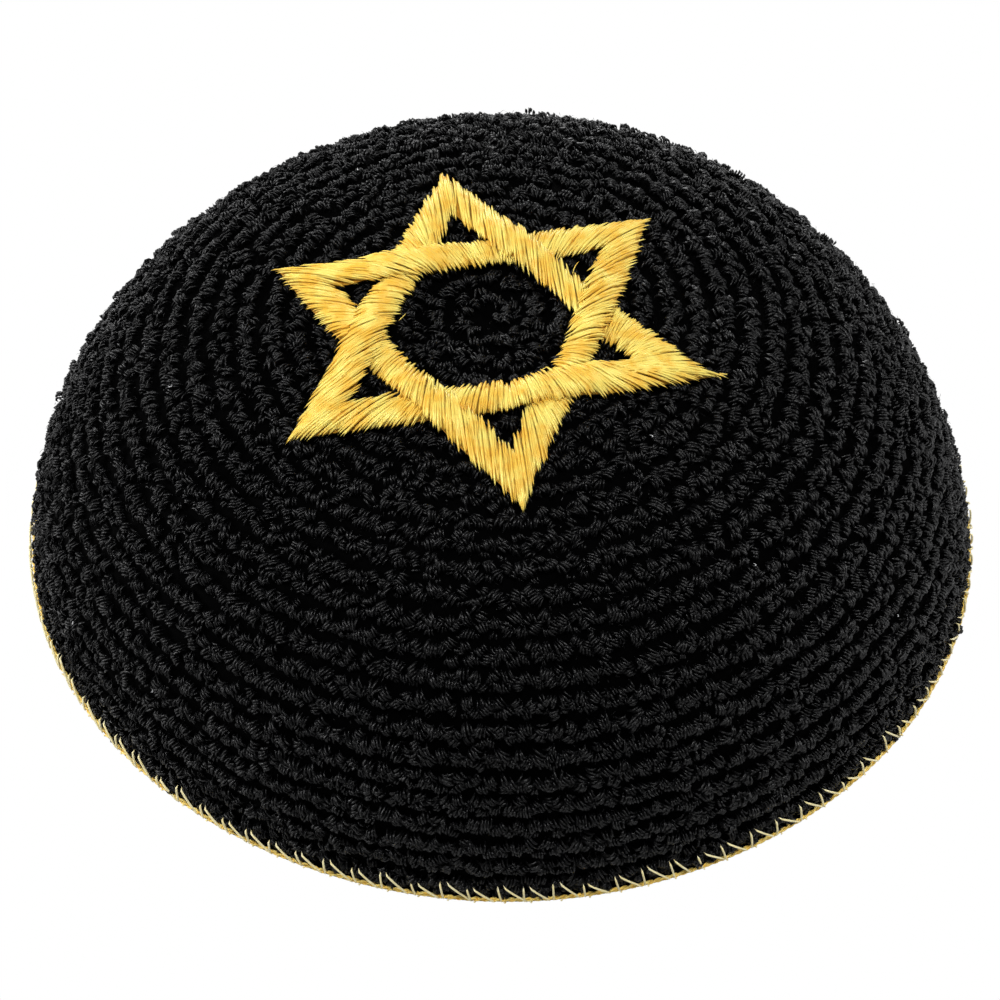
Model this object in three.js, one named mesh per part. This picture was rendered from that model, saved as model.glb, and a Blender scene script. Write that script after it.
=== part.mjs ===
// A crocheted skullcap: a hollow crown, a six-pointed satin-stitch star and a thin rim edging.
// Millimetres, +Z up. The cap stands on its edging at z = 0 with the origin in the middle of the foot.
// The front faces -Y. Azimuths are degrees from +X, counter-clockwise seen from above.
import * as THREE from 'three';

// Overall sizes
const CROWN_RADIUS = 85;
const CROWN_WALL = 2.4;
const PIECE_GAP = 0.3;

// Slope of the crown against the ground, along its arc from the apex (share 0) to the foot (share 1)
const CROWN_SLOPES = [
  { share: 0.00, slope: 0.0 },
  { share: 0.15, slope: 1.3 },
  { share: 0.30, slope: 9.3 },
  { share: 0.45, slope: 24.8 },
  { share: 0.60, slope: 47.0 },
  { share: 0.75, slope: 63.4 },
  { share: 0.90, slope: 78.1 },
  { share: 1.00, slope: 85.9 },
];

// The soft foot isn't quite round. Each lobe is a share of the radius, in cosine and sine.
const FOOT_LOBES = [
  { waves: 2, cosine: 0.0279, sine: 0.0045 },
  { waves: 3, cosine: -0.0059, sine: -0.0027 },
  { waves: 4, cosine: 0.0046, sine: -0.0013 },
];

// Sideways lean of the apex, as shares of the radius
const APEX_LEAN_X = -0.0254;
const APEX_LEAN_Y = -0.0118;

// The crochet rounds are one spiral, which widens by one pitch a turn
const ROUND_PITCH = 4.67;
const ROUND_RIDGE = 0.7;
const ROUND_START_AZIMUTH = -43;

// Rim edging: a flat-bottomed strand under the foot
const EDGING_WIDTH = 2.0;
const EDGING_HEIGHT = 0.9;
const EDGING_OVERHANG = 0.5;

// Satin stitch of the star
const SATIN_RISE = 0.8;
const SATIN_EDGE = 0.35;
const CROSSING_MARGIN = 0.8;
const CROSSING_RAMP = 4.5;

// Tips of the star. The reach is a share of the crown's arc from apex to foot.
const STAR_TIPS = {
  back: { azimuth: 104.7, reach: 0.299 },
  back_right: { azimuth: 39.4, reach: 0.299 },
  right: { azimuth: -18.8, reach: 0.342 },
  front: { azimuth: -83.2, reach: 0.358 },
  left: { azimuth: -142.0, reach: 0.368 },
  back_left: { azimuth: 163.6, reach: 0.330 },
};

// Sides of the two triangles, clockwise seen from above. Each side passes over one bar of the
// other triangle, at the crossing that it meets first. A positive bow swells outward.
const STAR_TRIANGLES = {
  star_triangle_back: [
    { from: 'back', to: 'right', width: 7.2, bow: -1.7, over: 'back_left' },
    { from: 'right', to: 'left', width: 7.0, bow: 4.1, over: 'back_right' },
    { from: 'left', to: 'back', width: 6.2, bow: -1.8, over: 'front' },
  ],
  star_triangle_front: [
    { from: 'back_right', to: 'front', width: 6.4, bow: 1.5, over: 'back' },
    { from: 'front', to: 'back_left', width: 6.0, bow: 1.1, over: 'right' },
    { from: 'back_left', to: 'back_right', width: 6.9, bow: -0.5, over: 'left' },
  ],
};

// Fineness of the faceted solids
const TURN_STEPS = 60;
const LINING_ROWS = 14;
const SIDE_STEPS = 24;
const ARC_STEPS = 400;

// Meridian of the crown: arc, radius and height above the ground from the apex outward
function crownMeridian() {
  const rows = [{ arc: 0, radius: 0, drop: 0 }];
  for (let i = 1; i <= ARC_STEPS; i += 1) {
    const slope = THREE.MathUtils.degToRad(slopeAt((i - 0.5) / ARC_STEPS));
    const last = rows[i - 1];
    rows.push({
      arc: i / ARC_STEPS,
      radius: last.radius + Math.cos(slope) / ARC_STEPS,
      drop: last.drop + Math.sin(slope) / ARC_STEPS,
    });
  }
  const foot = rows[ARC_STEPS];
  const scale = CROWN_RADIUS / foot.radius;
  return rows.map((row) => ({
    arc: row.arc * scale,
    radius: row.radius * scale,
    height: (foot.drop - row.drop) * scale,
  }));
}

// Slope in degrees at a share of the arc, eased between the rows of the table
function slopeAt(share) {
  const last = CROWN_SLOPES.length - 1;
  let i = 0;
  while (i < last - 1 && CROWN_SLOPES[i + 1].share < share) {
    i += 1;
  }
  const tangent = (k) => {
    const before = CROWN_SLOPES[Math.max(k - 1, 0)];
    const after = CROWN_SLOPES[Math.min(k + 1, last)];
    return (after.slope - before.slope) / (after.share - before.share);
  };
  const low = CROWN_SLOPES[i];
  const high = CROWN_SLOPES[i + 1];
  const span = high.share - low.share;
  const t = (share - low.share) / span;
  const easeIn = t * t * (3 - 2 * t);
  return low.slope * (1 - easeIn)
    + high.slope * easeIn
    + span * tangent(i) * t * (1 - t) * (1 - t)
    - span * tangent(i + 1) * t * t * (1 - t);
}

const MERIDIAN = crownMeridian();
const CROWN_ARC = MERIDIAN[ARC_STEPS].arc;
const CROWN_HEIGHT = MERIDIAN[0].height;

// How far the foot stands out or in from its mean radius at an azimuth in radians
function lobeAt(turn) {
  let sum = 0;
  for (const lobe of FOOT_LOBES) {
    sum += lobe.cosine * Math.cos(lobe.waves * turn) + lobe.sine * Math.sin(lobe.waves * turn);
  }
  return sum * CROWN_RADIUS;
}

// Point of the crown's mean outer surface at an arc from the apex, before centring
function barePoint(arc, turn) {
  const place = THREE.MathUtils.clamp(arc / CROWN_ARC, 0, 1) * ARC_STEPS;
  const i = Math.min(Math.floor(place), ARC_STEPS - 1);
  const radius = THREE.MathUtils.lerp(MERIDIAN[i].radius, MERIDIAN[i + 1].radius, place - i);
  const height = THREE.MathUtils.lerp(MERIDIAN[i].height, MERIDIAN[i + 1].height, place - i);
  const reach = radius + lobeAt(turn) * (radius / CROWN_RADIUS) ** 2;
  const lean = (height / CROWN_HEIGHT) * CROWN_RADIUS;
  return new THREE.Vector3(
    reach * Math.cos(turn) + APEX_LEAN_X * lean,
    reach * Math.sin(turn) + APEX_LEAN_Y * lean,
    height,
  );
}

// Middle of the foot, which becomes the origin
function footMiddle() {
  const box = new THREE.Box3();
  for (let i = 0; i < TURN_STEPS; i += 1) {
    box.expandByPoint(barePoint(CROWN_ARC, (i / TURN_STEPS) * 2 * Math.PI));
  }
  const middle = box.getCenter(new THREE.Vector3());
  return middle.setZ(0);
}

const FOOT_MIDDLE = footMiddle();

function crownPoint(arc, turn) {
  return barePoint(arc, turn).sub(FOOT_MIDDLE);
}

// Outward normal of the crown
function crownNormal(arc, turn) {
  const step = 0.5;
  const at = THREE.MathUtils.clamp(arc, step, CROWN_ARC - step);
  const down = crownPoint(at + step, turn).sub(crownPoint(at - step, turn));
  const twist = step / at;
  const round = crownPoint(at, turn + twist).sub(crownPoint(at, turn - twist));
  return down.cross(round).normalize();
}

// Point at a height above the crown's mean outer surface
function liftedPoint(arc, turn, lift) {
  return crownPoint(arc, turn).addScaledVector(crownNormal(arc, turn), lift);
}

function solid(points, triangles) {
  const geometry = new THREE.BufferGeometry();
  geometry.setAttribute('position', new THREE.Float32BufferAttribute(points.flatMap((p) => p.toArray()), 3));
  geometry.setIndex(triangles);
  geometry.computeVertexNormals();
  return geometry;
}

// Closed band whose sections run once round and join up again
function loopSolid(sections) {
  const count = sections[0].length;
  const points = sections.flat();
  const triangles = [];
  for (let i = 0; i < sections.length; i += 1) {
    const here = i * count;
    const next = ((i + 1) % sections.length) * count;
    for (let k = 0; k < count; k += 1) {
      const m = (k + 1) % count;
      triangles.push(here + k, next + k, next + m);
      triangles.push(here + k, next + m, here + m);
    }
  }
  return solid(points, triangles);
}

// Arc where the crown stands a gap above the edging
function crownFootArc() {
  const footHeight = EDGING_HEIGHT + PIECE_GAP;
  const row = MERIDIAN.findIndex((each) => each.height < footHeight);
  const above = MERIDIAN[row - 1];
  const below = MERIDIAN[row];
  const t = (above.height - footHeight) / (above.height - below.height);
  return THREE.MathUtils.lerp(above.arc, below.arc, t);
}

// Crown: a spiral of low ridges outside, plain inside, flat at the foot
function crownGeometry() {
  const points = [];
  const triangles = [];
  const footArc = crownFootArc();
  const footHeight = EDGING_HEIGHT + PIECE_GAP;
  const startTurn = THREE.MathUtils.degToRad(ROUND_START_AZIMUTH);
  const turnAt = (i) => startTurn + (i / TURN_STEPS) * 2 * Math.PI;
  const add = (point) => points.push(point) - 1;

  // Two rows a round: a groove row, then a crest row, each one pitch further out after a turn
  const spiralRows = Math.floor(2 * (footArc / ROUND_PITCH - 1.25));
  const spiral = [];
  for (let row = 0; row < spiralRows; row += 1) {
    const side = row % 2 === 0 ? -1 : 1;
    spiral.push([]);
    for (let i = 0; i < TURN_STEPS; i += 1) {
      const arc = (row / 2 + i / TURN_STEPS) * ROUND_PITCH;
      spiral[row].push(add(liftedPoint(arc, turnAt(i), side * (ROUND_RIDGE / 2))));
    }
  }
  // Where the last two rows have gone once round
  for (let row = spiralRows; row < spiralRows + 2; row += 1) {
    const side = row % 2 === 0 ? -1 : 1;
    spiral.push([add(liftedPoint((row / 2) * ROUND_PITCH, turnAt(0), side * (ROUND_RIDGE / 2)))]);
  }
  const at = (row, i) => (i === TURN_STEPS ? spiral[row + 2][0] : spiral[row][i]);
  const apex = at(0, 0);
  for (let i = 1; i < TURN_STEPS - 1; i += 1) {
    triangles.push(apex, at(0, i), at(0, i + 1));
  }
  triangles.push(apex, at(0, TURN_STEPS - 1), at(1, 0));
  triangles.push(at(1, 0), at(0, TURN_STEPS - 1), at(2, 0));
  for (let row = 0; row < spiralRows - 1; row += 1) {
    for (let i = 0; i < TURN_STEPS; i += 1) {
      triangles.push(at(row, i), at(row + 1, i), at(row + 1, i + 1));
      triangles.push(at(row, i), at(row + 1, i + 1), at(row, i + 1));
    }
  }

  // Foot rings, outside and inside, at one height
  const liningLift = ROUND_RIDGE / 2 - CROWN_WALL;
  const outerFoot = [];
  const innerFoot = [];
  for (let i = 0; i < TURN_STEPS; i += 1) {
    outerFoot.push(add(liftedPoint(footArc, turnAt(i), 0).setZ(footHeight)));
    innerFoot.push(add(liftedPoint(footArc, turnAt(i), liningLift).setZ(footHeight)));
  }
  const lastRow = spiralRows - 1;
  for (let i = 1; i < TURN_STEPS; i += 1) {
    const next = (i + 1) % TURN_STEPS;
    triangles.push(at(lastRow, i), outerFoot[i], outerFoot[next]);
    triangles.push(at(lastRow, i), outerFoot[next], at(lastRow, i + 1));
  }
  const step = at(lastRow, 1);
  triangles.push(step, at(lastRow, 0), at(lastRow + 1, 0));
  triangles.push(step, at(lastRow + 1, 0), at(lastRow + 2, 0));
  triangles.push(step, at(lastRow + 2, 0), outerFoot[0]);
  triangles.push(step, outerFoot[0], outerFoot[1]);
  for (let i = 0; i < TURN_STEPS; i += 1) {
    const next = (i + 1) % TURN_STEPS;
    triangles.push(outerFoot[i], innerFoot[i], innerFoot[next]);
    triangles.push(outerFoot[i], innerFoot[next], outerFoot[next]);
  }

  // Lining side, from the foot up to the inner apex
  let below = innerFoot;
  for (let row = LINING_ROWS - 1; row > 0; row -= 1) {
    const ring = [];
    for (let i = 0; i < TURN_STEPS; i += 1) {
      ring.push(add(liftedPoint((row / LINING_ROWS) * footArc, turnAt(i), liningLift)));
    }
    for (let i = 0; i < TURN_STEPS; i += 1) {
      const next = (i + 1) % TURN_STEPS;
      triangles.push(below[i], ring[i], ring[next]);
      triangles.push(below[i], ring[next], below[next]);
    }
    below = ring;
  }
  const innerApex = add(liftedPoint(0, 0, liningLift));
  for (let i = 0; i < TURN_STEPS; i += 1) {
    triangles.push(below[i], innerApex, below[(i + 1) % TURN_STEPS]);
  }
  return solid(points, triangles);
}

// Rim edging: rounded above, flat below
function edgingGeometry() {
  const half = EDGING_WIDTH / 2;
  const outline = [
    { out: 0.35, up: 0 },
    { out: 0.50, up: 0.35 },
    { out: 0.40, up: 0.80 },
    { out: 0.15, up: 1.00 },
    { out: -0.15, up: 1.00 },
    { out: -0.40, up: 0.80 },
    { out: -0.50, up: 0.35 },
    { out: -0.35, up: 0 },
  ];
  const sections = [];
  for (let i = 0; i < TURN_STEPS; i += 1) {
    const turn = (i / TURN_STEPS) * 2 * Math.PI;
    const foot = crownPoint(CROWN_ARC, turn).setZ(0);
    const outward = crownNormal(CROWN_ARC, turn).setZ(0).normalize();
    const middle = foot.addScaledVector(outward, EDGING_OVERHANG - half);
    sections.push(outline.map((each) => middle.clone()
      .addScaledVector(outward, each.out * EDGING_WIDTH)
      .setZ(each.up * EDGING_HEIGHT)));
  }
  return loopSolid(sections);
}

// The star is laid out flat, as arc from the apex against azimuth, and then wrapped on the crown
function tipPoint(name) {
  const tip = STAR_TIPS[name];
  const turn = THREE.MathUtils.degToRad(tip.azimuth);
  const arc = tip.reach * CROWN_ARC;
  return new THREE.Vector2(arc * Math.cos(turn), arc * Math.sin(turn));
}

// Straight line between the tips of a side, with its outward direction
function chordOf(side) {
  const start = tipPoint(side.from);
  const along = tipPoint(side.to).sub(start);
  const length = along.length();
  along.normalize();
  const outward = new THREE.Vector2(-along.y, along.x);
  return { start, along, outward, length };
}

// Point on a side at a share of its length, set in from its outer edge
function sidePoint(side, share, inset) {
  const chord = chordOf(side);
  return chord.start.clone()
    .addScaledVector(chord.along, share * chord.length)
    .addScaledVector(chord.outward, 4 * side.bow * share * (1 - share) - inset);
}

// How deep a flat point lies inside the outer edge of a side
function depthIn(side, point) {
  const chord = chordOf(side);
  const offset = point.clone().sub(chord.start);
  const share = offset.dot(chord.along) / chord.length;
  return 4 * side.bow * share * (1 - share) - offset.dot(chord.outward);
}

// Share of a side where its inner edge meets the inner edge of its neighbour
function innerCorner(side, neighbour, corner) {
  let near = 0.5;
  let far = corner;
  for (let i = 0; i < 40; i += 1) {
    const middle = (near + far) / 2;
    if (depthIn(neighbour, sidePoint(side, middle, side.width)) > neighbour.width) {
      near = middle;
    } else {
      far = middle;
    }
  }
  return near;
}

// Lift of a side over the bar that it crosses
function crossingLift(side, point) {
  const others = Object.values(STAR_TRIANGLES).flat();
  const bar = others.find((other) => other.from === side.over);
  const depth = depthIn(bar, point);
  const away = Math.max(depth - bar.width, -depth, 0);
  const share = 1 - THREE.MathUtils.smoothstep(away, CROSSING_MARGIN, CROSSING_MARGIN + CROSSING_RAMP);
  return share * (SATIN_RISE + PIECE_GAP);
}

// One interlaced triangle of satin stitch, crowned across its width
function triangleGeometry(sides) {
  const outline = [
    { across: 0.00, up: 0 },
    { across: 0.50, up: 0 },
    { across: 1.00, up: 0 },
    { across: 1.00, up: SATIN_EDGE },
    { across: 0.78, up: SATIN_RISE * 0.9 },
    { across: 0.50, up: SATIN_RISE },
    { across: 0.22, up: SATIN_RISE * 0.9 },
    { across: 0.00, up: SATIN_EDGE },
  ];
  const sections = [];
  sides.forEach((side, k) => {
    const before = sides[(k + sides.length - 1) % sides.length];
    const after = sides[(k + 1) % sides.length];
    const innerStart = innerCorner(side, before, 0);
    const innerEnd = innerCorner(side, after, 1);
    for (let i = 0; i < SIDE_STEPS; i += 1) {
      const share = i / SIDE_STEPS;
      const outer = sidePoint(side, share, 0);
      const inner = sidePoint(side, THREE.MathUtils.lerp(innerStart, innerEnd, share), side.width);
      sections.push(outline.map((each) => {
        const flat = outer.clone().lerp(inner, each.across);
        const lift = ROUND_RIDGE / 2 + PIECE_GAP + crossingLift(side, flat) + each.up;
        return liftedPoint(flat.length(), flat.angle(), lift);
      }));
    }
  });
  return loopSolid(sections);
}

function piece(name, geometry, color, roughness, metalness) {
  const material = new THREE.MeshStandardMaterial({ color, roughness, metalness });
  const mesh = new THREE.Mesh(geometry, material);
  mesh.name = name;
  return mesh;
}

const cap = new THREE.Group();
cap.name = 'crocheted_skullcap';
cap.add(piece('crown', crownGeometry(), '#101012', 0.95, 0));
cap.add(piece('rim_edging', edgingGeometry(), '#c9a04a', 0.45, 0.6));
for (const [name, sides] of Object.entries(STAR_TRIANGLES)) {
  cap.add(piece(name, triangleGeometry(sides), '#e8b545', 0.5, 0));
}

export default cap;
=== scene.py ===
"""Crocheted skullcap for Blender 4.5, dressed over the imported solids.

Every stitch of the crown is real yarn, laid along one spiral. The star is real satin thread over a
padded core, and the rim has a twisted metallic cord with small slanted stitches. Shapes are worked
out in millimetres from the middle of the foot, +Z up and the front facing -Y.
"""

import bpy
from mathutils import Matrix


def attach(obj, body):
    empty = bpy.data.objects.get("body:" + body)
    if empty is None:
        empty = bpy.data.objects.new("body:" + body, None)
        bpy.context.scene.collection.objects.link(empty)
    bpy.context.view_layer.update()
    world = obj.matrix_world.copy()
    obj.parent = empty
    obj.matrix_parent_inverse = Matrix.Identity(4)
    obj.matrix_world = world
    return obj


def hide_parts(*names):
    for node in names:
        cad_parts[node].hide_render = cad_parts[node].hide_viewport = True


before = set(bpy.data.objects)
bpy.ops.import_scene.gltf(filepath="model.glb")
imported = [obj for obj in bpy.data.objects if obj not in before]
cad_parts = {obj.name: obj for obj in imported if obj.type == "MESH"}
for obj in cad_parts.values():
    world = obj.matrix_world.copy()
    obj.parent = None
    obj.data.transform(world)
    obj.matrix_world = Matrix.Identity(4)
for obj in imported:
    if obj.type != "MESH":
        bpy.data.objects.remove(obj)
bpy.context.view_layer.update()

import math
from collections import namedtuple

import bpy
import numpy as np
from bpy.props import FloatProperty, FloatVectorProperty, PointerProperty
from bpy.types import Operator, Panel, PropertyGroup
from mathutils import Vector

bl_info = {
    "name": "Crocheted Skullcap",
    "version": (1, 0, 0),
    "blender": (4, 5, 0),
    "location": "3D View > Sidebar > Skullcap",
    "description": "Crocheted crown, satin-stitch star and metallic rim edging over fixed solids",
    "category": "Add Mesh",
}

MM = 0.001

# Slope of the crown in degrees by share of the arc from the apex to the foot
CROWN_SLOPES = (
    (0.00, 0.0),
    (0.15, 1.3),
    (0.30, 9.3),
    (0.45, 24.8),
    (0.60, 47.0),
    (0.75, 63.4),
    (0.90, 78.1),
    (1.00, 85.9),
)

# Lobes of the soft foot: waves a turn, then cosine and sine as shares of the radius
FOOT_LOBES = ((2, 0.0279, 0.0045), (3, -0.0059, -0.0027), (4, 0.0046, -0.0013))

# Lean of the apex along X and Y, as shares of the radius
APEX_LEAN = (-0.0254, -0.0118)

# Tips of the star: azimuth in degrees and share of the arc from apex to foot
STAR_TIPS = {
    "back": (104.7, 0.302),
    "back_right": (39.4, 0.299),
    "right": (-18.8, 0.342),
    "front": (-83.2, 0.358),
    "left": (-142.0, 0.368),
    "back_left": (163.6, 0.330),
}

# Sides run clockwise seen from above. Width in mm, waist as a share of it, outward bow in mm and
# its skew towards the far end, then where the bar that the side passes over begins
Side = namedtuple("Side", "start end width waist bow skew over")
STAR_TRIANGLES = {
    "star_triangle_back": (
        Side("back", "right", 6.15, 0.11, -2.0, -1.8, "back_left"),
        Side("right", "left", 6.3, 0.04, 2.8, 0.0, "back_right"),
        Side("left", "back", 6.15, 0.05, -0.75, 1.0, "front"),
    ),
    "star_triangle_front": (
        Side("back_right", "front", 5.85, 0.09, 1.3, -0.8, "back"),
        Side("front", "back_left", 6.2, 0.05, 2.0, 0.9, "right"),
        Side("back_left", "back_right", 5.95, 0.09, -1.1, 1.1, "left"),
    ),
}
STAR_SIDES = [side for sides in STAR_TRIANGLES.values() for side in sides]

# Azimuth in degrees where the spiral of rounds begins
ROUND_START_AZIMUTH = -43.0

# Share of a turn on each side of the seam over which the rounds step down, and shares of the
# crown's arc between which they come level with the foot
SEAM_ZONE = 0.09
LEVEL_FROM = 0.35
LEVEL_TO = 0.97

# Round pitches past the foot where the spiral ends, and short of it where its last stitch stands
SPIRAL_END = 0.2
LAST_STITCH = 0.3
FEWEST_STITCHES = 500

# Tufts of every stitch: mm across the round, mm along it, lean in degrees, height and half length
# in mm, then plies. A tuft without lean lies straight across the round
TUFTS = (
    (-0.80, -0.50, 32.0, 0.02, 1.10, 4),
    (0.75, 0.40, -26.0, -0.10, 1.10, 4),
    (-0.10, 1.40, 58.0, -0.60, 1.05, 3),
    (1.60, -0.95, 14.0, -0.95, 1.00, 3),
)

# Tufts of the narrow last round at the foot, in the same terms
FOOT_TUFTS = (
    (-0.60, -0.30, 26.0, 0.00, 0.80, 4),
    (-0.20, 0.90, -26.0, -0.15, 0.75, 4),
)

# Places along a ply, from one buried end to the other, and its thickness there
PLY_STEPS = np.array([-1.0, -0.55, 0.0, 0.55, 1.0])
PLY_THICKNESS = np.array([0.0, 0.95, 1.0, 0.95, 0.0])

# Distance between the plies of a tuft in ply radii, and share of the tufts with the usual lean
PLY_SPACING = 1.95
USUAL_LEAN_SHARE = 0.64

# How far a tuft dips: at its ends in mm, beside its middle and away from the crest of the round
END_DIP = 0.95
END_DIP_POWER = 2.2
SIDE_DIP = 0.3
CREST_DIP = 0.1

# Random spread of whole tufts: turn in degrees, places in mm, and length, fan and tilt as shares
TUFT_TURN = 20.0
TUFT_ACROSS = 0.42
TUFT_ALONG = 0.35
TUFT_HEIGHT = 0.32
TUFT_LENGTH = 0.14
TUFT_FAN = 0.3
TUFT_TILT = 0.22

# Random spread of the plies in a tuft, in the same terms
PLY_TURN = 7.0
PLY_GAP = 0.06
PLY_SLIDE = 0.22
PLY_HEIGHT = 0.1
PLY_LENGTH = 0.12
PLY_THICKNESS_SPREAD = 0.1

# Shell under the stitches: depths in mm of its outer and inner side, and relief of the inner one
SHELL_OUTER = 1.5
SHELL_INNER = 2.05
SHELL_RELIEF = 0.36

# Small lean of the upward direction of strands, so that it never lies along a strand
UPWARD_LEAN = (0.05, 0.02, 0.0)

# Heading in degrees of the threads at each tip of the star
TIP_HEADINGS = {
    "back": 277.0,
    "back_right": 219.4,
    "right": 180.0,
    "front": 96.8,
    "left": 38.0,
    "back_left": 343.6,
}

# Shares of a side between which its threads turn from one heading to the next
TURN_ZONES = {"back": (0.5, 1.05), "right": (-0.1, 0.95), "back_left": (0.05, 1.1)}
USUAL_TURN_ZONE = (0.2, 0.95)

# Loose thread ends of the star: azimuth, arc, heading in degrees and length in mm
STRAY_THREADS = (
    (-18.5, 40.2, 12.0, 1.7),
    (-18.8, 40.2, -4.0, 1.9),
    (-19.3, 40.0, -24.0, 1.3),
    (-170.3, 16.4, 34.0, 2.2),
    (29.5, 16.1, 87.0, 3.5),
    (-54.4, 16.4, -150.0, 2.0),
)

# Places along a satin thread, from its outer end to its inner end, and its width there
THREAD_STEPS = np.array([0.0, 0.06, 0.17, 0.36, 0.6, 0.81, 0.94, 1.0])
THREAD_WIDTHS = np.array([0.0, 0.55, 0.95, 1.0, 1.0, 0.95, 0.55, 0.0])

# Farthest that a thread is followed in mm, and the places tested on the way
THREAD_REACH = 19
THREAD_TESTS = 150

# Layers of threads on each side: distance between threads as a multiple, and depth in mm
THREAD_LAYERS = ((1.5, 0.28), (1.0, 0.0))

# Outline of the star's padding: shares of the width and heights as shares of the satin rise
PADDING_OUTLINE = (
    (0.08, -0.4), (0.5, -0.4), (0.92, -0.4), (0.92, -0.1),
    (0.75, 0.1), (0.5, 0.15), (0.25, 0.1), (0.08, -0.1),
)

# Twisted pairs of the rim cord: mm out from the foot, steps round it and rim stitches for a twist
CORD_PAIRS = ((0.07, 1240, 0.6), (-0.85, 620, 1.0))

# Legs of each pair of rim stitches: mm along the rim, slant in mm and height as a share
RIM_LEGS = ((0.0, 0.5, 0.96), (1.0, 4.0, 1.0))

# Seeds of the random draws
CROWN_SEED = 11
FUZZ_SEED = 23
STAR_SEED = 37
EDGING_SEED = 41

# Stage in metres: place, size and power in watts of each lamp, then camera aim and floor
LAMPS = {
    "Lamp Above": ((0.0, -0.18, 1.2), 0.55, 10.5),
    "Lamp Left": ((-1.05, 0.15, 0.28), 0.5, 9.0),
    "Lamp Right": ((1.05, 0.15, 0.28), 0.5, 3.5),
    "Lamp Back": ((0.0, 1.1, 0.3), 0.5, 4.5),
}
LAMP_AIM = (0, 0, 0.03)
CAMERA_AIM = (-0.00032, -0.01457, 0.025)
FLOOR_REACH = 6.0

# Finish of a material: sheen weight, roughness and tint, specular level and tint, roughness of
# the darker and the lighter colour, scale of blotches and of fibres and share of fibres, then
# strength of the bump and its depth in metres
Finish = namedtuple("Finish", "sheen specular roughness fibre bump")
WHITE = (1.0, 1.0, 1.0, 1.0)
YARN = Finish(
    sheen=(0.02, 0.35, (0.75, 0.77, 0.82, 1.0)), specular=(0.34, WHITE), roughness=(0.43, 0.22),
    fibre=(420.0, 3600.0, 0.45), bump=(0.6, 0.00012),
)
# Finish of the lining's outer faces, whose yarn colour is darkened as painted shade in the grooves
PAINTED_SHADE_GROOVE_YARN = Finish(
    sheen=(0.0, 0.5, WHITE), specular=(0.02, WHITE), roughness=(0.9, 0.75),
    fibre=(420.0, 3600.0, 0.45), bump=(0.8, 0.0002),
)
SATIN = Finish(
    sheen=(0.05, 0.35, (1.0, 0.9, 0.6, 1.0)), specular=(0.75, (1.0, 0.84, 0.4, 1.0)),
    roughness=(0.4, 0.2), fibre=(320.0, 6000.0, 0.3), bump=(0.35, 0.00006),
)
# Finish of the star padding, whose colours, darker than the thread, are painted shade between the
# threads
PADDING = Finish(
    sheen=(0.1, 0.5, (1.0, 0.8, 0.5, 1.0)), specular=(0.3, (1.0, 0.84, 0.4, 1.0)),
    roughness=(0.7, 0.55), fibre=(1200.0, 6000.0, 0.5), bump=(0.6, 0.0001),
)
METALLIC_THREAD = Finish(
    sheen=(0.3, 0.4, (1.0, 0.92, 0.65, 1.0)), specular=(0.6, (1.0, 0.86, 0.5, 1.0)),
    roughness=(0.42, 0.25), fibre=(1500.0, 7000.0, 0.5), bump=(0.4, 0.00006),
)
LINT = Finish(
    sheen=(0.2, 0.5, WHITE), specular=(0.4, WHITE), roughness=(0.8, 0.6),
    fibre=(1500.0, 8000.0, 0.5), bump=(0.3, 0.00005),
)
LINT_COLOURS = ((0.45, 0.46, 0.48), (0.8, 0.8, 0.8))


# Shape of the crown


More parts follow.
